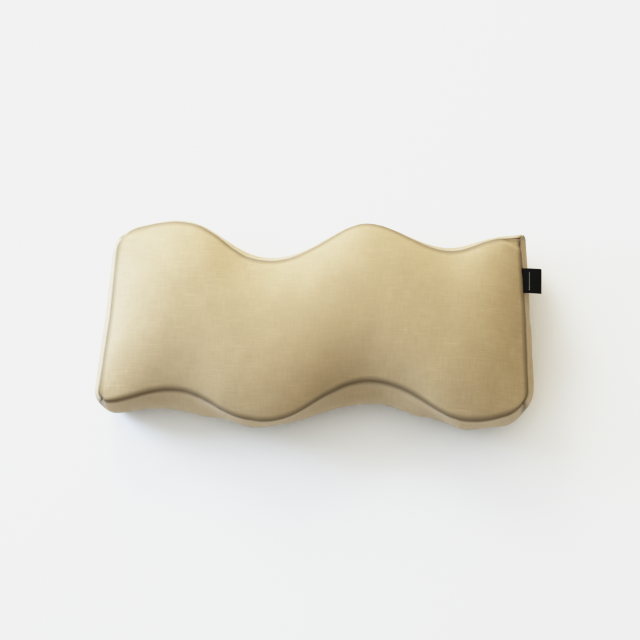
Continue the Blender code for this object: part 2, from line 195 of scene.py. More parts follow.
class Outline:
    """Plan of the cushion: smooth lines through the seams of its two long bands."""

    def __init__(self, shape):
        self.lines = {NEAR: seam_line("near_side_band"), FAR: seam_line("far_side_band")}
        low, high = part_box("near_side_band")
        self.low, self.high = low.z - SEAM_ALLOWANCE, high.z + SEAM_ALLOWANCE
        self.back_wave = shape.back_wave
        self.radii = dict(zip(((0, 0), (1, 0), (0, 1), (1, 1)), shape.corner_radii))
        near, far = self.lines[NEAR], self.lines[FAR]
        self.length = near[-1, 0] - near[0, 0]
        self.width = float(np.mean(far[:, 1]) - np.mean(near[:, 1]))

    def edge(self, side, u, depth=0.0):
        """Point on a long seam, by cubic interpolation; depth runs from 0 at the front to 1 at the back."""
        line = self.lines[side]
        x = line[0, 0] + (line[-1, 0] - line[0, 0]) * u
        k = int(np.clip(np.searchsorted(line[:, 0], x) - 1, 0, len(line) - 2))
        (x0, y0), (x1, y1) = line[k], line[k + 1]
        before, after = line[max(k - 1, 0)], line[min(k + 2, len(line) - 1)]
        slope0 = (y1 - before[1]) / (x1 - before[0])
        slope1 = (after[1] - y0) / (after[0] - x0)
        t, h = (x - x0) / (x1 - x0), x1 - x0
        y = ((1 + 2 * t) * (1 - t) ** 2 * y0 + t * (1 - t) ** 2 * h * slope0
             + t * t * (3 - 2 * t) * y1 + t * t * (t - 1) * h * slope1)
        if side == NEAR:
            chord = line[0, 1] + (line[-1, 1] - line[0, 1]) * u
            y = chord + (y - chord) * (1 - depth * (1 - self.back_wave))
        lean = sum(far * math.exp(-((u - spot) / LEAN_SPREAD) ** 2) for spot, far in LEANS[side])
        return Vector((x, y - lean if side == NEAR else y + lean))

    def hollow(self, side, u):
        """From -1 in a dip of the edge to 1 on a swell of it."""
        step = 0.03
        a, b, c = (self.edge(side, min(max(u + k * step, 0), 1)).y for k in (-1, 0, 1))
        bend = (a + c - 2 * b) / (step * self.length) ** 2
        return float(np.clip((bend if side == NEAR else -bend) * 0.05, -1, 1))

    def depth(self, z):
        return (self.high - z) / (self.high - self.low)

    def plan(self, u, v, depth=0.0):
        """Point of the plan, with its corners rounded."""
        near, far = self.edge(NEAR, u, depth), self.edge(FAR, u, depth)
        point = near.lerp(far, v)
        for (right, top), radius in self.radii.items():
            a = (1 - u if right else u) * self.length
            b = (1 - v if top else v) * self.width
            reach = abs(radius)
            if a < reach and b < reach:
                p, q = 1 - a / reach, 1 - b / reach
                in_x = radius * p * (1 - math.sqrt(1 - q * q / 2))
                in_y = radius * q * (1 - math.sqrt(1 - p * p / 2))
                point += Vector((-in_x if right else in_x, -in_y if top else in_y))
        return point


def swell(distance, run):
    """A quarter wave, full past the run."""
    return math.sin(math.pi / 2 * min(max(distance / run, 0.0), 1.0))


def roll(distance, run):
    """A pillow's profile: a firm rise beside the seam, nearly level past the run."""
    return (1 - (1 - min(max(distance / run, 0.0), 1.0)) ** 2.2) ** 0.97


def edge_gap(fraction, length):
    """Distance to the nearer end."""
    return min(fraction, 1 - fraction) * length


def stations(length, step):
    """Fractions along a length, with set lines near both ends."""
    inner = length - 2 * EDGE_COLUMNS[-1]
    count = round(inner / step)
    marks = list(EDGE_COLUMNS[:-1]) + [EDGE_COLUMNS[-1] + inner * k / count for k in range(count + 1)]
    marks += [length - mark for mark in reversed(EDGE_COLUMNS[:-1])]
    return [mark / length for mark in marks]


# ---------------------------------------------------------------- cover

class Cover:
    """Places every point of the stuffed cover before it is simulated."""

    def __init__(self, shape, zip_frame):
        self.shape = shape
        self.outline = Outline(shape)
        self.zip = zip_frame
        self.along = stations(self.outline.length, shape.mesh_step)
        self.across = stations(self.outline.width, shape.mesh_step)
        slot = (zip_frame.height - zip_frame.slot / 2, zip_frame.height + zip_frame.slot / 2)
        below = np.linspace(self.outline.low, slot[0], BELOW_ZIP)
        above = np.linspace(slot[1], self.outline.high, ABOVE_ZIP)
        self.levels = [float(z) for z in (*below, *above)]

    def face(self, panel, u, v):
        shape, outline = self.shape, self.outline
        point = outline.plan(u, v, 0.0 if panel == FRONT else 1.0)
        along = edge_gap(u, outline.length)
        if panel == FRONT:
            rise = roll(along, shape.crown_run) * roll(edge_gap(v, outline.width), outline.width / 2)
            return Vector((*point, outline.high + shape.front_crown * rise))
        rise = swell(along, 0.06) * swell(edge_gap(v, outline.width), 0.06)
        return Vector((*point, outline.low - shape.back_crown * rise))

    def belly(self, z):
        outline = self.outline
        return max(0.0, math.sin(math.pi * (z - outline.low) / (outline.high - outline.low))) ** 1.5

    def side(self, panel, u, z):
        outline, shape = self.outline, self.shape
        point = outline.plan(u, 1.0 if panel == FAR else 0.0, outline.depth(z))
        gap = edge_gap(u, outline.length)
        fill = shape.far_fill if panel == FAR else shape.near_fill
        full = 1 - PUFFS[panel] * outline.hollow(panel, u) * swell(gap, 0.05)
        out = shape.side_bulge * full * (fill + (1 - fill) * swell(gap, 0.03)) * self.belly(z)
        beyond = self.end_reach(RIGHT if u > 0.5 else LEFT, z) * fill * (1 - swell(gap, 0.025))
        return Vector((point.x + (beyond if u > 0.5 else -beyond), point.y + (out if panel == FAR else -out), z))

    def end(self, panel, v, z):
        outline, shape = self.outline, self.shape
        point = outline.plan(1.0 if panel == RIGHT else 0.0, v, outline.depth(z))
        gap = edge_gap(v, outline.width)
        fill = shape.far_fill if v > 0.5 else shape.near_fill
        run = 0.03 if panel == RIGHT else 0.014
        out = self.end_reach(panel, z) * (fill + (1 - fill) * swell(gap, run))
        beyond = shape.side_bulge * fill * (1 - swell(gap, 0.025)) * self.belly(z)
        return Vector((point.x + (out if panel == RIGHT else -out), point.y + (beyond if v > 0.5 else -beyond), z))

    def end_reach(self, panel, z):
        """How far an end swells past its seams at this height."""
        if panel == RIGHT:
            return self.shape.right_bulge * self.belly(z)
        above = (z - self.zip.height - 0.008) / (self.outline.high - self.zip.height - 0.008)
        return self.shape.end_bulge * self.belly(z) + self.shape.over_zip * math.sin(math.pi * max(above, 0.0)) ** 2

    def build(self, name):
        """The six panels as sheets of quads, sewn into one closed mesh."""
        bm = bmesh.new()
        layers = bm.faces.layers.int.new("panel"), bm.loops.layers.uv.new("cloth")
        for panel in (FRONT, BACK):
            self.add_sheet(bm, layers, panel, self.along, self.across,
                           lambda u, v, panel=panel: self.face(panel, u, v), (0, 1))
        for panel in (NEAR, FAR):
            self.add_sheet(bm, layers, panel, self.along, self.levels,
                           lambda u, z, panel=panel: self.side(panel, u, z), (0, 2))
        for panel in (LEFT, RIGHT):
            self.add_sheet(bm, layers, panel, self.across, self.levels,
                           lambda v, z, panel=panel: self.end(panel, v, z), (1, 2))
        bmesh.ops.remove_doubles(bm, verts=bm.verts, dist=1e-5)
        bmesh.ops.recalc_face_normals(bm, faces=bm.faces)
        mesh = bpy.data.meshes.new(name)
        bm.to_mesh(mesh)
        bm.free()
        mesh.shade_smooth()
        return mesh

    @staticmethod
    def add_sheet(bm, layers, panel, columns, rows, place, axes):
        """One panel, with its points placed and its cloth coordinates in metres."""
        panel_layer, uv_layer = layers
        made = bmesh.ops.create_grid(bm, x_segments=len(columns) - 1, y_segments=len(rows) - 1, size=0.5)["verts"]
        for vert in made:
            i = round((vert.co.x + 0.5) * (len(columns) - 1))
            j = round((vert.co.y + 0.5) * (len(rows) - 1))
            vert.co = place(columns[i], rows[j])
        for face in {face for vert in made for face in vert.link_faces}:
            face[panel_layer] = panel
            for loop in face.loops:
                loop[uv_layer].uv = (loop.vert.co[axes[0]] + panel * 0.37, loop.vert.co[axes[1]] + panel * 0.21)


def seam_edges(bm):
    layer = bm.faces.layers.int["panel"]
    return [edge for edge in bm.edges
            if len(edge.link_faces) == 2 and edge.link_faces[0][layer] != edge.link_faces[1][layer]]


def simulate(obj, shape, zip_frame):
    """Press the cover out from inside while its seams draw up, and keep what it does within the cap."""
    start = np.array([v.co for v in obj.data.vertices], float)
    bm = bmesh.new()
    bm.from_mesh(obj.data)
    sewn = sorted({vert.index for edge in seam_edges(bm) for vert in edge.verts})
    bm.free()
    group = obj.vertex_groups.new(name="sewn")
    group.add(sewn, 1.0, "REPLACE")
    cloth = obj.modifiers.new("stuffing", "CLOTH")
    settings = cloth.settings
    for key, value in CLOTH.items():
        setattr(settings, key, value)
    settings.uniform_pressure_force = shape.pressure
    settings.vertex_group_shrink = group.name
    settings.shrink_max = shape.seam_shrink
    settings.effector_weights.gravity = 0
    cloth.collision_settings.use_collision = False
    cloth.collision_settings.use_self_collision = False
    cloth.point_cache.frame_start = 1
    cloth.point_cache.frame_end = shape.frames
    scene = bpy.context.scene
    for step in range(1, shape.frames + 1):
        scene.frame_set(step)
    graph = bpy.context.evaluated_depsgraph_get()
    moved = np.array([v.co for v in obj.evaluated_get(graph).data.vertices], float)
    scene.frame_set(1)
    obj.modifiers.remove(cloth)
    for axis in (0, 1):
        wanted, found = start[sewn, axis], moved[sewn, axis]
        middle = (found.max() + found.min()) / 2
        moved[:, axis] = (wanted.max() + wanted.min()) / 2 + (moved[:, axis] - middle) * np.ptp(wanted) / np.ptp(found)
    shift = moved - start
    reach = np.linalg.norm(shift, axis=1)
    cap = shape.move_cap * np.clip((zip_frame.distance(start) - 0.006) / 0.03, 0.0, 1.0)
    shift *= np.minimum(1.0, cap / np.maximum(reach, 1e-9))[:, None]
    placed = start + shift
    placed[:, 2] = np.maximum(placed[:, 2], 0.0002)
    for vert, co in zip(obj.data.vertices, placed):
        vert.co = co
    print(f"cloth moved {reach.mean() * 1000:.2f} mm on average, {reach.max() * 1000:.2f} mm at most")


def subdivide(obj):
    """Apply one Catmull-Clark step, keeping the cloth coordinates."""
    modifier = obj.modifiers.new("finer", "SUBSURF")
    modifier.levels = modifier.render_levels = 1
    graph = bpy.context.evaluated_depsgraph_get()
    mesh = bpy.data.meshes.new_from_object(obj.evaluated_get(graph), preserve_all_data_layers=True, depsgraph=graph)
    obj.modifiers.remove(modifier)
    old, obj.data = obj.data, mesh
    bpy.data.meshes.remove(old)


def mesh_arrays(mesh):
    co = np.empty(len(mesh.vertices) * 3)
    mesh.vertices.foreach_get("co", co)
    normal = np.empty(len(mesh.vertices) * 3)
    mesh.vertex_normals.foreach_get("vector", normal)
    return co.reshape(-1, 3), normal.reshape(-1, 3)


def seam_points(mesh):
    """Every point on a seam, with the axis that the seam runs along and how many seams meet there."""
    bm = bmesh.new()
    bm.from_mesh(mesh)
    layer = bm.faces.layers.int["panel"]
    found = []
    for vert in bm.verts:
        panels = {face[layer] for face in vert.link_faces}
        if len(panels) < 2:
            continue
        if not panels & {FRONT, BACK}:
            axis = 2
        else:
            axis = 0 if panels & {NEAR, FAR} else 1
        found.append((vert.co.copy(), axis, len(panels)))
    bm.free()
    return found


def seam_pucker(place, axis, gap):
    """Uneven ripples along the seam at this place, livelier on some stretches, that die out beside it."""
    run = place[axis]
    key = axis * 2 + (1 if place[1 if axis == 0 else 0] > 0 else 0) + (4 if place[2] > 0.04 else 0)
    lively = 0.35 + 0.9 * max(0.0, noise.noise(Vector((run / 0.05, key * 1.9, 4.2))) + 0.2)
    coarse = noise.noise(Vector((run / PUCKER_PITCH, key * 3.7, 0.3)))
    fine = noise.noise(Vector((run / PUCKER_PITCH * 2.3, key * 5.1, 7.7)))
    return lively * (coarse * 1.3 + fine * 0.5) * math.exp(-gap / PUCKER_REACH)


def smooth_corner(corner):
    """The far left corners are filled out, with no pit where their seams meet."""
    return corner.x < 0 < corner.y


def fold_across(point, start, end):
    """Height of a short crease between two points, with a rolled lip beside it."""
    line = (end - start).to_2d()
    spot = (point - start).to_2d()
    share = spot.dot(line) / line.length_squared
    aside = (line.x * spot.y - line.y * spot.x) / line.length
    fade = math.exp(-(max(0.0, -share, share - 1) * line.length / 0.004) ** 2)
    lip = LIP_HEIGHT * math.exp(-((aside + 0.0045) / 0.004) ** 2)
    return fade * (lip - CREASE_DEPTH * math.exp(-(aside / 0.0024) ** 2))


def corner_folds(point, normal, corners):
    """Folds that run out of the corners, and a small pit in each one that is not smooth."""
    lift = 0.0
    for number, corner in enumerate(corners):
        spread = point - corner
        reach = spread.length
        if reach < CORNER_REACH:
            turn = math.atan2(spread.y, spread.x) if abs(normal[2]) > 0.5 else math.atan2(spread.z, reach)
            fold = noise.noise(Vector((turn * 3.2, number * 2.3, 1.1)))
            lift += 0.0016 * fold * math.exp(-reach / 0.020) * min(1.0, reach / 0.008)
            if not smooth_corner(corner):
                lift -= 0.0020 * math.exp(-(reach / 0.0035) ** 2)
    return lift


def dress(mesh, shape):
    """Puckers across the seams, folds running out of the corners, and the soft unevenness of a stuffed cover."""
    seams = seam_points(mesh)
    tree = KDTree(len(seams))
    for index, (place, _, _) in enumerate(seams):
        tree.insert(place, index)
    tree.balance()
    corners = [place for place, _, meeting in seams if meeting == 3]
    ear = max(corners, key=lambda place: place.x + place.y + place.z)
    crease = [ear + Vector(end) for end in CREASE]
    coords, normals = mesh_arrays(mesh)
    for index, (co, normal) in enumerate(zip(coords, normals)):
        point = Vector(co)
        place, nearest, gap = tree.find(point)
        lift = shape.pucker * seam_pucker(place, seams[nearest][1], gap) + corner_folds(point, normal, corners)
        lift += sum(height * noise.noise(point / size + Vector(start)) for height, size, start in UNEVENNESS)
        if normal[2] > 0.3 and (point - ear).length < 0.04:
            lift += fold_across(point, *crease)
        mesh.vertices[index].co = point + Vector(normal) * lift


def round_edges(bm, edges, offset, segments=2):
    """Bevel the edges to a round profile, and return what that makes."""
    return bmesh.ops.bevel(bm, geom=edges, offset=offset, offset_type="OFFSET", segments=segments, profile=0.5,
                           affect="EDGES", clamp_overlap=True, material=-1)


def verts_in(items):
    return [item for item in items if isinstance(item, bmesh.types.BMVert)]


def edges_of(verts):
    return list({edge for vert in verts for edge in vert.link_edges})


def groove_seams(mesh, shape):
    """Turn each seam into a narrow valley between two rolled edges of cloth, and mark the valley for painted shade,
    much darker in the corners' pits.
    """
    bm = bmesh.new()
    bm.from_mesh(mesh)
    crease = bm.edges.layers.float.new("crease_edge")
    sewn = bm.verts.layers.float.new("sewn")
    strip = set(round_edges(bm, seam_edges(bm), shape.seam_width)["faces"])
    bm.normal_update()
    valley = [vert for vert in bm.verts if vert.link_faces and all(face in strip for face in vert.link_faces)]
    corners = [vert.co.copy() for vert in valley if len(vert.link_edges) > 4 or len(vert.link_edges) == 3]
    corners = [corner for corner in corners if not smooth_corner(corner)]
    inward = []
    for vert in valley:
        near = math.exp(-min(((vert.co - corner).length for corner in corners), default=1.0) / 0.010)
        # painted shade: a faint darkening along the valley, together with the thread's colour, that grows far darker
        # in a corner's pit
        vert[sewn] = SEAM_PAINTED_SHADE + CORNER_PAINTED_SHADE * near ** 3
        inward.append(vert.normal * -shape.seam_depth * (1 + CORNER_DEPTH * near ** 2))
    for vert, shift in zip(valley, inward):
        vert.co += shift
    for vert in bm.verts:
        vert.co.z = max(vert.co.z, FLOOR_GAP)
    bottom = set(valley)
    for edge in bm.edges:
        if edge.verts[0] in bottom and edge.verts[1] in bottom:
            edge[crease] = 0.8
    bm.to_mesh(mesh)
    bm.free()


def cut_zip_slot(mesh, zip_frame):
    """Open the slot in the left end and turn its edges in."""
    bm = bmesh.new()
    bm.from_mesh(mesh)
    layer = bm.faces.layers.int["panel"]
    gone = []
    for face in bm.faces:
        if face[layer] != LEFT:
            continue
        middle = face.calc_center_median()
        aside = abs((zip_frame.inverse @ middle).x)
        if aside < zip_frame.slot_half and abs(middle.z - zip_frame.height) < zip_frame.slot / 2:
            gone.append(face)
    rim = {edge for face in gone for edge in face.edges if any(other not in gone for other in edge.link_faces)}
    bmesh.ops.delete(bm, geom=gone, context="FACES")
    turned = bmesh.ops.extrude_edge_only(bm, edges=[edge for edge in rim if edge.is_valid])["geom"]
    bmesh.ops.translate(bm, verts=verts_in(turned), vec=zip_frame.outward * -SLOT_HEM)
    bmesh.ops.recalc_face_normals(bm, faces=bm.faces)
    bm.to_mesh(mesh)
    bm.free()


def new_object(name, mesh):
    obj = bpy.data.objects.new(name, mesh)
    bpy.context.scene.collection.objects.link(obj)
    return obj


def keep_mesh(bm, name, smooth=True):
    mesh = bpy.data.meshes.new(name)
    bm.to_mesh(mesh)
    bm.free()
    if smooth:
        mesh.shade_smooth()
    return mesh


def inner_layer(mesh, name, depth, rounds):
    """A bag or core that lies the given depth inside the cover, with softer corners."""
    bm = bmesh.new()
    bm.from_mesh(mesh)
    bm.normal_update()
    for vert, shift in [(vert, vert.normal * -depth) for vert in bm.verts]:
        vert.co += shift
    for _ in range(rounds):
        bmesh.ops.smooth_vert(bm, verts=bm.verts, factor=0.5, use_axis_x=True, use_axis_y=True, use_axis_z=True)
    for vert in bm.verts:
        vert.co.z = max(vert.co.z, depth * 0.6)
    return keep_mesh(bm, name)


# ---------------------------------------------------------------- materials

class Nodes:
    """Short hand for a node tree."""

    def __init__(self, tree):
        self.tree = tree

    def add(self, kind, links=(), **settings):
        """A new node with these settings, its sockets linked or set."""
        node = self.tree.nodes.new(kind)
        for key, value in settings.items():
            setattr(node, key, value)
        for socket, source in dict(links).items():
            if isinstance(source, bpy.types.NodeSocket):
                self.tree.links.new(source, node.inputs[socket])
            else:
                node.inputs[socket].default_value = source
        return node

    def math(self, operation, *values):
        return self.add("ShaderNodeMath", enumerate(values), operation=operation).outputs[0]

    def mix(self, factor, low, high, blend="MIX"):
        """Colour between two others, or their sum."""
        low, high = (side if isinstance(side, bpy.types.NodeSocket) else (*side, 1.0) for side in (low, high))
        return self.add("ShaderNodeMix", {0: factor, 6: low, 7: high}, data_type="RGBA", blend_type=blend).outputs[2]

    def spread(self, value, low, high, top=1.0, curve="LINEAR"):
        """Stretch a value so that low becomes 0 and high becomes top."""
        links = {"Value": value, "From Min": low, "From Max": high, "To Max": top}
        return self.add("ShaderNodeMapRange", links, interpolation_type=curve).outputs[0]


class Weaver(Nodes):
    """Short hand for a material."""

    def __init__(self, name, roughness, metallic=0.0):
        self.material = bpy.data.materials.new(name)
        self.material.use_nodes = True
        super().__init__(self.material.node_tree)
        self.shader = self.tree.nodes["Principled BSDF"]
        self.shader.inputs["Roughness"].default_value = roughness
        self.shader.inputs["Metallic"].default_value = metallic

    def noise(self, vector, scale, detail=2.0, rough=0.5):
        links = {"Vector": vector, "Scale": scale, "Detail": detail, "Roughness": rough}
        return self.add("ShaderNodeTexNoise", links).outputs["Fac"]

    def stretched(self, vector, x, y, z=1.0):
        return self.add("ShaderNodeMapping", {"Vector": vector, "Scale": (x, y, z)}).outputs[0]

    def cloth_coordinates(self):
        return self.add("ShaderNodeUVMap", uv_map="cloth").outputs[0]

    def object_coordinates(self):
        return self.add("ShaderNodeTexCoord").outputs["Object"]

    def colour(self, source):
        self.tree.links.new(source, self.shader.inputs["Base Color"])

    def bump(self, height, strength, distance):
        node = self.add("ShaderNodeBump", {"Height": height, "Strength": strength, "Distance": distance})
        self.tree.links.new(node.outputs[0], self.shader.inputs["Normal"])

    def sheen(self, weight, roughness, tint):
        self.shader.inputs["Sheen Weight"].default_value = weight
        self.shader.inputs["Sheen Roughness"].default_value = roughness
        self.shader.inputs["Sheen Tint"].default_value = (*tint, 1.0)


def shade(colour, factor):
    return tuple(min(1.0, channel * factor) for channel in colour)


def plain_weave(weaver, place, pitch):
    """Height of a plain weave: threads pass over and under each other by turns."""
    parts = weaver.add("ShaderNodeSeparateXYZ", {0: place})
    turns = [weaver.math("MULTIPLY", parts.outputs[k], math.pi / pitch) for k in range(2)]
    waves = [weaver.math("SINE", turn) for turn in turns]
    over = weaver.math("GREATER_THAN", weaver.math("MULTIPLY", *waves), 0.0)
    warp, weft = (weaver.math("ABSOLUTE", wave) for wave in waves)
    lying = weaver.math("MULTIPLY", warp, over)
    crossing = weaver.math("MULTIPLY", weft, weaver.math("SUBTRACT", 1.0, over))
    return weaver.math("ADD", lying, crossing)


def slubs(weaver, place):
    """Uneven yarns: short thick stretches along both thread directions, from 0 to 1."""
    weft = weaver.noise(weaver.stretched(place, 48.0, 900.0), 1.0, 4.0, 0.62)
    warp = weaver.noise(weaver.stretched(place, 860.0, 55.0), 1.0, 4.0, 0.62)
    rare = weaver.noise(weaver.stretched(place, 30.0, 420.0), 1.0, 2.0, 0.5)
    both = weaver.math("MULTIPLY", weaver.math("ADD", weft, warp), 0.5)
    knots = weaver.math("MULTIPLY", weaver.math("MAXIMUM", weaver.math("SUBTRACT", rare, 0.60), 0.0), 1.2)
    return weaver.math("ADD", both, knots)


def woven_material(name, colour, pitch, uneven, relief, sheen=0.1):
    """Plain woven cloth with slubbed yarns, soft mottling, painted shade in the weave's hollows and along the seams,
    and a bloom of loose fibre.
    """
    weaver = Weaver(name, 0.92)
    place = weaver.cloth_coordinates()
    weave = plain_weave(weaver, place, pitch)
    yarn = slubs(weaver, place)
    mottle = weaver.noise(place, 26.0, 6.0, 0.66)
    base = weaver.mix(weaver.spread(yarn, 0.36, 0.64), shade(colour, 1 - uneven), shade(colour, 1 + uneven))
    clouded = weaver.mix(weaver.spread(mottle, 0.38, 0.66, 0.24), base, shade(colour, 0.80))
    # painted shade in the hollows between the threads: the lower the weave, the darker the cloth
    pits = weaver.math("MULTIPLY", weaver.math("SUBTRACT", 1.0, weave), 0.35)
    pitted = weaver.mix(pits, clouded, shade(colour, 0.62))
    # painted shade at the seams: a little along each valley, together with the thread's darker colour, and far more in
    # the corners' pits
    sewn = weaver.add("ShaderNodeAttribute", attribute_name="sewn").outputs["Fac"]
    weaver.colour(weaver.mix(sewn, pitted, shade(colour, 0.5)))
    height = weaver.math("ADD", weave, weaver.math("MULTIPLY", yarn, 1.6))
    weaver.bump(height, 0.55, relief)
    weaver.sheen(sheen, 0.45, (1.0, 0.97, 0.90))
    weaver.shader.inputs["Specular IOR Level"].default_value = 0.25
    return weaver.material


def foam_material(colour):
    weaver = Weaver("foam", 0.95)
    place = weaver.object_coordinates()
    cells = weaver.add("ShaderNodeTexVoronoi", {"Vector": place, "Scale": 900.0}).outputs["Distance"]
    # painted shade in the foam's pores: darker towards each cell's middle, where the bump sinks
    weaver.colour(weaver.mix(cells, shade(colour, 0.8), colour))
    weaver.bump(cells, 0.5, 0.0003)
    return weaver.material


def metal_material(colour):
    weaver = Weaver("zip_metal", 0.34, 1.0)
    place = weaver.object_coordinates()
    rub = weaver.noise(place, 900.0, 3.0, 0.6)
    wear = weaver.noise(place, 220.0, 2.0, 0.5)
    weaver.colour(weaver.mix(wear, shade(colour, 0.82), shade(colour, 1.12)))
    weaver.bump(rub, 0.12, 0.00005)
    return weaver.material


def grained_material(name, colour, roughness, scale, detail, shades, bump=None, specular=0.5):
    """A plain finish with an even grain between two shades of its colour."""
    weaver = Weaver(name, roughness)
    grain = weaver.noise(weaver.object_coordinates(), scale, detail)
    weaver.colour(weaver.mix(grain, *(shade(colour, factor) for factor in shades)))
    weaver.shader.inputs["Specular IOR Level"].default_value = specular
    if bump:
        weaver.bump(grain, *bump)
    return weaver.material


def label_material(colour, mark):
    """Black damask tape with a row of small pale dashes across its middle, and no lettering."""
    weaver = Weaver("label", 0.72)
    place = weaver.cloth_coordinates()
    parts = weaver.add("ShaderNodeSeparateXYZ", {0: place})
    rib = weaver.math("SINE", weaver.math("MULTIPLY", parts.outputs[1], 2 * math.pi / 0.00055))
    cross = weaver.math("SINE", weaver.math("MULTIPLY", parts.outputs[0], 2 * math.pi / 0.0008))
    height = weaver.math("MULTIPLY", rib, weaver.math("ADD", weaver.math("MULTIPLY", cross, 0.3), 1.0))
    from_row = weaver.math("ABSOLUTE", weaver.math("SUBTRACT", parts.outputs[0], 0.0098))
    row = weaver.math("LESS_THAN", from_row, 0.00045)
    beat = weaver.math("SINE", weaver.math("MULTIPLY", parts.outputs[1], 2 * math.pi / 0.0026))
    dash = weaver.math("GREATER_THAN", beat, 0.1)
    middle = weaver.math("LESS_THAN", weaver.math("ABSOLUTE", parts.outputs[1]), 0.0105)
    shown = weaver.math("MULTIPLY", row, weaver.math("MULTIPLY", dash, middle))
    # painted light on the ribs: lighter on their crests and darker in their troughs, following the bump
    ground = weaver.mix(weaver.math("MULTIPLY_ADD", rib, 0.25, 0.5), shade(colour, 0.6), shade(colour, 1.9))
    weaver.colour(weaver.mix(shown, ground, mark))
    weaver.bump(height, 0.5, 0.00012)
    weaver.sheen(0.12, 0.4, (0.8, 0.8, 0.85))
    return weaver.material


def paint(obj, material):
    obj.data.materials.clear()
    obj.data.materials.append(material)


# ---------------------------------------------------------------- zip

class ZipFrame:
    """The zip's own axes, from its joints: X the way it opens, Y up the end, Z out of the cloth."""

    def __init__(self):
        joints = {joint["name"]: joint for joint in frame["joints"]}
        self.opening = Vector(joints["zip_slide"]["axis"]).normalized()
        upward = -Vector(joints["pull_hinge"]["axis"]).normalized()
        self.outward = self.opening.cross(upward).normalized()
        self.upward = self.outward.cross(self.opening)
        corners = np.vstack([node_points("zip_coil_upper"), node_points("zip_coil_lower")])
        self.centre = Vector((corners.min(0) + corners.max(0)) / 2)
        turn = Matrix((self.opening, self.upward, self.outward)).transposed().to_4x4()
        self.matrix = Matrix.Translation(self.centre) @ turn
        self.inverse = self.matrix.inverted()
        self.height = self.centre.z
        self.slot = SLOT_HEIGHT
        low, high = self.box("zip_tape_upper")
        self.tape_half = (high.x - low.x) / 2
        self.slot_half = self.tape_half - 0.004
        self.hinge = Vector(joints["pull_hinge"]["pos_m"])

    def box(self, node):
        """A frame piece's lowest and highest corners along the zip's own axes."""
        local = [self.inverse @ Vector(point) for point in node_points(node)]
        return (Vector([min(point[k] for point in local) for k in range(3)]),
                Vector([max(point[k] for point in local) for k in range(3)]))

    def distance(self, points):
        """Distance of each point from the zip's middle line."""
        run = np.clip((points - np.array(self.centre)) @ np.array(self.opening), -self.tape_half, self.tape_half)
        return np.linalg.norm(points - np.array(self.centre) - run[:, None] * np.array(self.opening), axis=1)


def add_block(bm, low, high, bevel=0.0, segments=2):
    """Add a closed box between two corners, with its edges rounded."""
    low, high = Vector(low), Vector(high)
    place = Matrix.Translation((low + high) / 2) @ Matrix.Diagonal((*(high - low), 1.0))
    made = bmesh.ops.create_cube(bm, size=1.0, matrix=place)["verts"]
    if bevel:
        round_edges(bm, edges_of(made), bevel, segments)


def rounded_loop(bm, low, high, radius, height, steps=5):
    """A closed loop of edges round a rectangle with round corners, at one height."""
    centres = ((high[0] - radius, high[1] - radius, 0), (low[0] + radius, high[1] - radius, 1),
               (low[0] + radius, low[1] + radius, 2), (high[0] - radius, low[1] + radius, 3))
    verts = []
    for x, y, quarter in centres:
        for step in range(steps + 1):
            angle = math.pi / 2 * (quarter + step / steps)
            verts.append(bm.verts.new((x + radius * math.cos(angle), y + radius * math.sin(angle), height)))
    return [bm.edges.new((a, b)) for a, b in zip(verts, verts[1:] + verts[:1])]


def add_tab(bm, loops, low, high):
    """A flat plate between two heights: the first loop is its rim and the others are holes."""
    edges = [edge for loop in loops for edge in rounded_loop(bm, *loop, low)]
    faces = [item for item in bmesh.ops.triangle_fill(bm, edges=edges, use_beauty=True)["geom"]
             if isinstance(item, bmesh.types.BMFace)]
    grown = bmesh.ops.extrude_face_region(bm, geom=faces)["geom"]
    bmesh.ops.translate(bm, verts=verts_in(grown), vec=(0, 0, high - low))
    bmesh.ops.recalc_face_normals(bm, faces=bm.faces)
    sharp = [edge for edge in bm.edges if len(edge.link_faces) == 2 and edge.calc_face_angle(0) > 1.0]
    round_edges(bm, sharp, (high - low) * 0.28)


def lay_cloth(bm, axes=(0, 1)):
    """Cloth coordinates in metres, from two of the axes that a piece is modelled on."""
    layer = bm.loops.layers.uv.new("cloth")
    for face in bm.faces:
        for loop in face.loops:
            loop[layer].uv = (loop.vert.co[axes[0]], loop.vert.co[axes[1]])


def zip_piece(bm, name, zip_frame):
    """Finish a piece that was modelled on the zip's own axes."""
    bmesh.ops.transform(bm, matrix=zip_frame.matrix, verts=bm.verts)
    obj = new_object(name, keep_mesh(bm, name))
    obj.data.set_sharp_from_angle(angle=math.radians(38))
    return obj


def make_tape(zip_frame, node):
    """One woven tape, with a thicker woven edge beside the coil."""
    low, high = zip_frame.box(node)
    bm = bmesh.new()
    add_block(bm, low, high, 0.0002)
    inner = low.y if low.y > 0 else high.y
    sign = 1 if low.y > 0 else -1
    edge = sorted((inner + sign * 0.0021, inner + sign * 0.0032))
    add_block(bm, (low.x, edge[0], low.z), (high.x, edge[1], high.z + 0.00025), 0.0002)
    lay_cloth(bm)
    return zip_piece(bm, node.replace("zip_tape", "tape"), zip_frame)


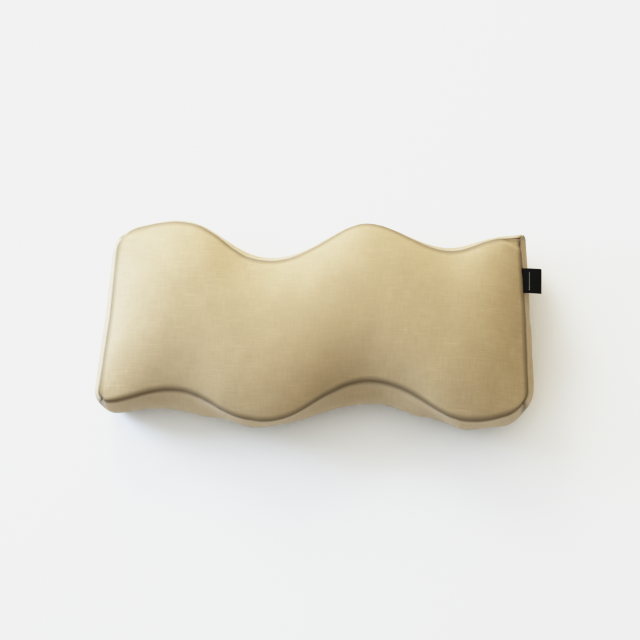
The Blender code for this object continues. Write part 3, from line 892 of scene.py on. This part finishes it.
def make_coil(zip_frame, node, start):
    """One side of the zip's coil: a row of loops of wire whose heads reach past the middle line."""
    low, high = zip_frame.box(node)
    wire = 0.00026
    tooth = bmesh.new()
    place = Matrix.Translation((0, high.z - wire, 0)) @ Matrix.Rotation(math.pi / 2, 4, "Y")
    ring = bmesh.ops.create_circle(tooth, segments=6, radius=wire, matrix=place)["verts"]
    bmesh.ops.spin(tooth, geom=ring + edges_of(ring), cent=(0, 0, 0), axis=(1, 0, 0), angle=2 * math.pi, steps=8,
                   use_merge=True)
    outer = max(abs(low.y), abs(high.y))
    past_middle = 0.0004
    for vert in tooth.verts:
        vert.co.y += outer - high.z if vert.co.y > 1e-6 else high.z - past_middle
    if low.y < 0:
        bmesh.ops.scale(tooth, vec=(1, -1, 1), verts=tooth.verts)
    bmesh.ops.recalc_face_normals(tooth, faces=tooth.faces)
    model = bpy.data.meshes.new("tooth")
    tooth.to_mesh(model)
    tooth.free()
    bm = bmesh.new()
    x = low.x + wire + start
    while x < high.x - wire:
        before = len(bm.verts)
        bm.from_mesh(model)
        bm.verts.ensure_lookup_table()
        bmesh.ops.translate(bm, verts=bm.verts[before:], vec=(x, 0, 0))
        x += COIL_PITCH
    bpy.data.meshes.remove(model)
    return zip_piece(bm, node.replace("zip_coil", "coil"), zip_frame)


def make_stop(zip_frame, node):
    """A metal stop, crimped round the end of the coil."""
    low, high = zip_frame.box(node)
    bm = bmesh.new()
    add_block(bm, low, high, 0.00045, 3)
    middle = (low.x + high.x) / 2
    add_block(bm, (middle - 0.0004, low.y - 0.0001, high.z - 0.0006),
              (middle + 0.0004, high.y + 0.0001, high.z + 0.00015), 0.0002)
    return zip_piece(bm, node.replace("zip_", ""), zip_frame)


def make_slider(zip_frame):
    """The slider: a shouldered plate with turned-down sides, and an arched bridge for the pull."""
    low, high = zip_frame.box("zip_slider")
    bar = zip_frame.inverse @ zip_frame.hinge
    length = high.x - low.x
    plate = (0.0015, 0.0027)
    bm = bmesh.new()
    add_tab(bm, [((low.x, low.y), (high.x, high.y), 0.0018)], *plate)
    for sign in (1, -1):
        side = sorted((sign * 0.0027, sign * high.y))
        add_block(bm, (low.x + 0.0009, side[0], low.z + 0.0002), (high.x - 0.0009, side[1], plate[0] + 0.0005), 0.0004)
    for vert in bm.verts:
        back = (vert.co.x - low.x) / length
        if abs(vert.co.y) > 0.0029:
            vert.co.y *= 1 - 0.16 * max(0.0, back - 0.35) / 0.65
    rise = high.z - plate[1]
    reach, thick, wide = 0.0027, 0.00042, 0.001
    section = Matrix.Translation((bar.x + reach, 0, plate[1])) @ Matrix.Diagonal((thick, wide, 1, 1))
    profile = bmesh.ops.create_circle(bm, segments=10, radius=1.0, matrix=section)["verts"]
    before = set(bm.verts) - set(profile)
    bmesh.ops.spin(bm, geom=profile + edges_of(profile), cent=(bar.x, 0, plate[1]), axis=(0, 1, 0), angle=-math.pi,
                   steps=14, use_merge=False)
    sunk = 0.0003
    for vert in set(bm.verts) - before:
        vert.co.z = plate[1] - sunk + (vert.co.z - plate[1]) * (rise + sunk) / (reach + thick)
    bmesh.ops.recalc_face_normals(bm, faces=bm.faces)
    return zip_piece(bm, "slider", zip_frame)


def make_pull(zip_frame):
    """The pull: a tab with an eye for the bridge and a sunk panel down its middle."""
    low, high = zip_frame.box("zip_pull")
    bar = (zip_frame.inverse @ zip_frame.hinge).x
    bm = bmesh.new()
    rim = ((low.x, low.y), (high.x, high.y), 0.0016)
    eye = ((bar + 0.00045, -0.0013), (bar + 0.0038, 0.0013), 0.0006)
    window = ((bar + 0.0062, -0.0017), (high.x - 0.0026, 0.0017), 0.0014)
    add_tab(bm, [rim, eye, window], low.z, high.z)
    add_block(bm, (window[0][0] - 0.0004, -0.0021, low.z + 0.00022),
              (window[1][0] + 0.0004, 0.0021, high.z - 0.00022))
    return zip_piece(bm, "pull", zip_frame)


def make_stitches(zip_frame, skin):
    """Two rows of lockstitch that hold the tapes to the cover, and a short row across each end."""
    low, high = zip_frame.box("zip_tape_upper")
    rows = []
    count = int((high.x - low.x + 0.004) / STITCH_STEP)
    for k in range(count):
        x = (k - (count - 1) / 2) * STITCH_STEP
        rows += [(x, STITCH_REACH, False), (x, -STITCH_REACH, False)]
    for end in (-1, 1):
        rows += [(end * (count / 2 * STITCH_STEP + 0.0004), (k - 1.0) * STITCH_STEP, True) for k in range(3)]
    bm = bmesh.new()
    for x, y, upright in rows:
        start = zip_frame.matrix @ Vector((x, y, 0.02))
        spot, normal, _, _ = skin.ray_cast(start, -zip_frame.outward)
        if spot is None:
            raise RuntimeError("A stitch beside the zip misses the cover")
        along = zip_frame.upward if upright else zip_frame.opening
        along = (along - normal * along.dot(normal)).normalized()
        axes = Matrix((along, normal.cross(along), normal)).transposed().to_4x4()
        place = Matrix.Translation(spot - normal * 0.00008) @ axes @ Matrix.Diagonal((0.00135, 0.00026, 0.00026, 1))
        bmesh.ops.create_uvsphere(bm, u_segments=6, v_segments=5, radius=1.0,
                                  matrix=place @ Matrix.Rotation(math.pi / 2, 4, "Y"))
    return new_object("zip_stitches", keep_mesh(bm, "zip_stitches"))


# ---------------------------------------------------------------- labels

def make_side_label():
    """A short loop of black woven tape, sewn into the right seam with its fold outwards."""
    low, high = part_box("side_label")
    gap, ply = 0.0005, 0.00032
    root, tip = low.x - 0.0035, high.x
    bm = bmesh.new()
    along, across = 30, 14
    layer = bm.loops.layers.uv.new("cloth")
    made = bmesh.ops.create_grid(bm, x_segments=along, y_segments=across, size=0.5)["verts"]
    run = tip - root - gap / 2
    turn = math.pi * gap / 2
    whole = 2 * run + turn
    marks = {}
    for vert in made:
        s, t = (vert.co.x + 0.5) * whole, vert.co.y
        if s < run:
            x, z = root + s, gap / 2
        elif s > run + turn:
            x, z = root + whole - s, -gap / 2
        else:
            angle = math.pi * (s - run) / turn
            x, z = root + run + gap / 2 * math.sin(angle), gap / 2 * math.cos(angle)
        out = max(0.0, x - low.x) / (tip - low.x)
        lift = 0.0016 * out * (1 - 0.5 * out) - 0.0022 * out ** 2 + 0.0005 * out * math.sin(t * 5.0)
        marks[vert] = (min(s, whole - s), t * (high.y - low.y))
        vert.co = (x, (low.y + high.y) / 2 + t * (high.y - low.y), high.z + 0.0002 + z * (1 + 1.2 * out) + lift)
    for face in bm.faces:
        for loop in face.loops:
            loop[layer].uv = marks[loop.vert]
    bmesh.ops.recalc_face_normals(bm, faces=bm.faces)
    bmesh.ops.solidify(bm, geom=bm.faces[:], thickness=ply)
    return new_object("woven_label", keep_mesh(bm, "woven_label"))


def make_care_label(skin):
    """A thin satin strip sewn inside the right end, following the cover."""
    low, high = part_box("care_label")
    bm = bmesh.new()
    made = bmesh.ops.create_grid(bm, x_segments=16, y_segments=18, size=0.5)["verts"]
    for vert in made:
        y = low.y + (vert.co.x + 0.5) * (high.y - low.y)
        z = low.z + (vert.co.y + 0.5) * (high.z - low.z)
        spot, _, _, _ = skin.ray_cast(Vector((high.x + 0.03, y, z)), Vector((-1, 0, 0)))
        if spot is None:
            raise RuntimeError("The care label misses the cover")
        vert.co = (spot.x - 0.0024, y, z)
    lay_cloth(bm, (1, 2))
    bmesh.ops.recalc_face_normals(bm, faces=bm.faces)
    bmesh.ops.solidify(bm, geom=bm.faces[:], thickness=0.00025)
    return new_object("care_strip", keep_mesh(bm, "care_strip"))


# ---------------------------------------------------------------- operators

COVER_NODES = ("front_panel", "back_panel", "near_side_band", "far_side_band", "right_end_panel",
               "left_end_upper", "left_end_lower")
LINER_NODES = ("liner_front", "liner_back", "liner_near_band", "liner_far_band", "liner_right_end", "liner_left_end")


def join_frame(obj, body, slot, material, *nodes):
    """Paint a finished piece with its finish, put it under its body and hide the frame pieces it stands for."""
    paint(obj, material)
    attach(obj, body)
    if nodes:
        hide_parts(*nodes)


def live_subdivision(obj):
    modifier = obj.modifiers.new("smooth", "SUBSURF")
    modifier.levels = modifier.render_levels = 1


def skin_of(obj):
    return BVHTree.FromObject(obj, bpy.context.evaluated_depsgraph_get())


class CUSHION_OT_soft_goods(bpy.types.Operator):
    """Make the stuffed cover, the liner bag inside it and the foam core"""
    bl_idname = "cushion.soft_goods"
    bl_label = "Cover, liner and core"

    def execute(self, context):
        shape, colours = context.scene.cushion_shape, context.scene.cushion_colours
        zip_frame = ZipFrame()
        cover = new_object("cover", Cover(shape, zip_frame).build("cover"))
        simulate(cover, shape, zip_frame)
        subdivide(cover)
        liner = new_object("liner_bag", inner_layer(cover.data, "liner_bag", shape.liner_depth, LINER_ROUNDS))
        core = new_object("core", inner_layer(cover.data, "core", shape.core_depth, CORE_ROUNDS))
        dress(cover.data, shape)
        cut_zip_slot(cover.data, zip_frame)
        groove_seams(cover.data, shape)
        for piece in (cover, liner, core):
            piece.data.shade_smooth()
            live_subdivision(piece)
        join_frame(cover, "cushion", "cover_linen",
                   woven_material("cover_linen", colours.linen, pitch=0.00062, uneven=0.07, relief=0.0002, sheen=0.3),
                   *COVER_NODES)
        join_frame(liner, "cushion", "lining",
                   woven_material("lining", colours.lining, pitch=0.0005, uneven=0.02, relief=0.0001), *LINER_NODES)
        join_frame(core, "cushion", "foam", foam_material(colours.foam), "foam_core")
        return {"FINISHED"}


class CUSHION_OT_labels(bpy.types.Operator):
    """Make the black woven side label and the care strip inside the right end"""
    bl_idname = "cushion.labels"
    bl_label = "Labels"

    def execute(self, context):
        colours = context.scene.cushion_colours
        join_frame(make_side_label(), "cushion", "label_black",
                   label_material(colours.label, colours.label_mark), "side_label")
        strip = make_care_label(skin_of(bpy.data.objects["cover"]))
        join_frame(strip, "cushion", "care_white",
                   woven_material("care_white", colours.care, pitch=0.0003, uneven=0.02, relief=0.00005), "care_label")
        return {"FINISHED"}


class CUSHION_OT_zip(bpy.types.Operator):
    """Make the zip's tapes, coils, stops and stitching"""
    bl_idname = "cushion.zip"
    bl_label = "Zip"

    def execute(self, context):
        colours = context.scene.cushion_colours
        zip_frame = ZipFrame()
        tape = woven_material("zip_tape", colours.tape, pitch=0.0005, uneven=0.04, relief=0.0001)
        coil = grained_material("zip_coil", colours.coil, 0.42, 1500.0, 2.0, (0.9, 1.1), (0.1, 0.00003))
        thread = grained_material("sewing_thread", shade(colours.linen, 0.8), 0.7, 4200.0, 1.0, (0.72, 1.0),
                                  (0.4, 0.00005))
        metal = metal_material(colours.metal)
        for name, start in (("upper", 0.0), ("lower", 0.5)):
            join_frame(make_tape(zip_frame, "zip_tape_" + name), "cushion", "zip_tape", tape, "zip_tape_" + name)
            teeth = make_coil(zip_frame, "zip_coil_" + name, start * COIL_PITCH)
            join_frame(teeth, "cushion", "zip_coil", coil, "zip_coil_" + name)
            join_frame(make_stop(zip_frame, "zip_top_stop_" + name), "cushion", "zip_metal", metal,
                       "zip_top_stop_" + name)
        join_frame(make_stop(zip_frame, "zip_bottom_stop"), "cushion", "zip_metal", metal, "zip_bottom_stop")
        stitches = make_stitches(zip_frame, skin_of(bpy.data.objects["cover"]))
        join_frame(stitches, "cushion", "cover_linen", thread)
        return {"FINISHED"}


class CUSHION_OT_slider(bpy.types.Operator):
    """Make the zip's slider and its pull"""
    bl_idname = "cushion.slider"
    bl_label = "Slider and pull"

    def execute(self, context):
        zip_frame = ZipFrame()
        metal = bpy.data.materials["zip_metal"]
        join_frame(make_slider(zip_frame), "slider", "zip_metal", metal, "zip_slider")
        join_frame(make_pull(zip_frame), "pull", "zip_metal", metal, "zip_pull")
        return {"FINISHED"}


def area_light(name, place, aim, size, power, colour):
    data = bpy.data.lights.new(name, "AREA")
    data.shape = "DISK"
    data.size, data.energy, data.color = size, power, colour
    light = bpy.data.objects.new(name, data)
    bpy.context.scene.collection.objects.link(light)
    light.location = place
    light.rotation_euler = (Vector(aim) - Vector(place)).to_track_quat("-Z", "Y").to_euler()


def soft_room(stage):
    """Even light from all round, with a cool glow on the left and a warm one on the far side."""
    world = bpy.data.worlds.new("studio")
    world.use_nodes = True
    nodes = Nodes(world.node_tree)
    place = nodes.add("ShaderNodeTexCoord").outputs["Generated"]
    total = stage.room
    for towards, start, glow in (((-1, 0.15, 0.25), -0.2, stage.left_glow), ((0, 1, 0.35), 0.1, stage.far_glow)):
        facing = nodes.add("ShaderNodeVectorMath", {0: place, 1: Vector(towards).normalized()},
                           operation="DOT_PRODUCT").outputs["Value"]
        total = nodes.mix(nodes.spread(facing, start, 1.0, curve="SMOOTHSTEP"), total, glow, "ADD")
    camera_ray = nodes.add("ShaderNodeLightPath").outputs["Is Camera Ray"]
    nodes.tree.links.new(nodes.mix(camera_ray, total, stage.seen_room), nodes.tree.nodes["Background"].inputs[0])
    return world


def soft_print(view, stage):
    """Show the scene as a soft print: firm middle tones, and highlights that roll off to paper white."""
    view.view_transform, view.look = "Standard", "None"
    view.use_curve_mapping = True
    mapping = view.curve_mapping
    brightest = PRINT_STEPS[-1]
    mapping.white_level = (brightest, brightest, brightest)
    mapping.extend = "HORIZONTAL"
    points = mapping.curves[3].points
    for light in PRINT_STEPS[1:-1]:
        points.new(light / brightest, 0.5)
    for point, light in zip(points, PRINT_STEPS):
        point.location = (light / brightest, PAPER_WHITE * (1 - math.exp(-stage.exposure * light ** stage.contrast)))
    mapping.update()


class CUSHION_OT_stage(bpy.types.Operator):
    """Make the pale floor, the soft light and the camera"""
    bl_idname = "cushion.stage"
    bl_label = "Stage"

    def execute(self, context):
        stage = context.scene.cushion_stage
        bm = bmesh.new()
        bmesh.ops.create_grid(bm, x_segments=1, y_segments=1, size=4.0)
        floor = new_object("floor", keep_mesh(bm, "floor", smooth=False))
        paint(floor, grained_material("floor", stage.floor, 0.9, 3.0, 2.0, (0.995, 1.005), specular=0.1))
        context.scene.world = soft_room(stage)
        for name, (place, aim, size) in LAMPS.items():
            lamp = name + "_lamp"
            area_light(lamp, place, aim, size, getattr(stage, name + "_power"), getattr(stage, lamp))
        self.place_camera(context.scene, stage)
        soft_print(context.scene.view_settings, stage)
        return {"FINISHED"}

    @staticmethod
    def place_camera(scene, stage):
        data = bpy.data.cameras.new("camera")
        data.lens, data.sensor_width = stage.lens, 36.0
        camera = bpy.data.objects.new("camera", data)
        scene.collection.objects.link(camera)
        level = math.cos(stage.elevation)
        outwards = Vector((math.sin(stage.azimuth) * level, -math.cos(stage.azimuth) * level,
                           math.sin(stage.elevation)))
        right = Vector((math.cos(stage.azimuth), math.sin(stage.azimuth), 0))
        upward = outwards.cross(right)
        tilted = right * math.cos(stage.roll) + upward * math.sin(stage.roll)
        axes = Matrix((tilted, outwards.cross(tilted), outwards)).transposed().to_4x4()
        camera.matrix_world = Matrix.Translation(Vector(stage.aim) + outwards * stage.distance) @ axes
        scene.camera = camera


class CUSHION_PT_panel(bpy.types.Panel):
    """Steps and settings of the cushion"""
    bl_idname = "CUSHION_PT_panel"
    bl_label = "Lumbar cushion"
    bl_space_type = "VIEW_3D"
    bl_region_type = "UI"
    bl_category = "Cushion"

    def draw(self, context):
        layout = self.layout
        for operator in OPERATORS:
            layout.operator(operator.bl_idname)
        for group in (context.scene.cushion_shape, context.scene.cushion_colours, context.scene.cushion_stage):
            box = layout.box()
            for name in group.bl_rna.properties.keys():
                if name not in {"rna_type", "name"}:
                    box.prop(group, name)


OPERATORS = (CUSHION_OT_soft_goods, CUSHION_OT_labels, CUSHION_OT_zip, CUSHION_OT_slider, CUSHION_OT_stage)
GROUPS = {"cushion_shape": CushionShape, "cushion_colours": CushionColours, "cushion_stage": CushionStage}


def register():
    for cls in (*GROUPS.values(), *OPERATORS, CUSHION_PT_panel):
        bpy.utils.register_class(cls)
    for name, group in GROUPS.items():
        setattr(bpy.types.Scene, name, PointerProperty(type=group))


def unregister():
    for name in GROUPS:
        delattr(bpy.types.Scene, name)
    for cls in (CUSHION_PT_panel, *reversed(OPERATORS), *GROUPS.values()):
        bpy.utils.unregister_class(cls)


def main():
    register()
    for step in ("soft_goods", "labels", "zip", "slider", "stage"):
        getattr(bpy.ops.cushion, step)()


if __name__ == "__main__":
    main()
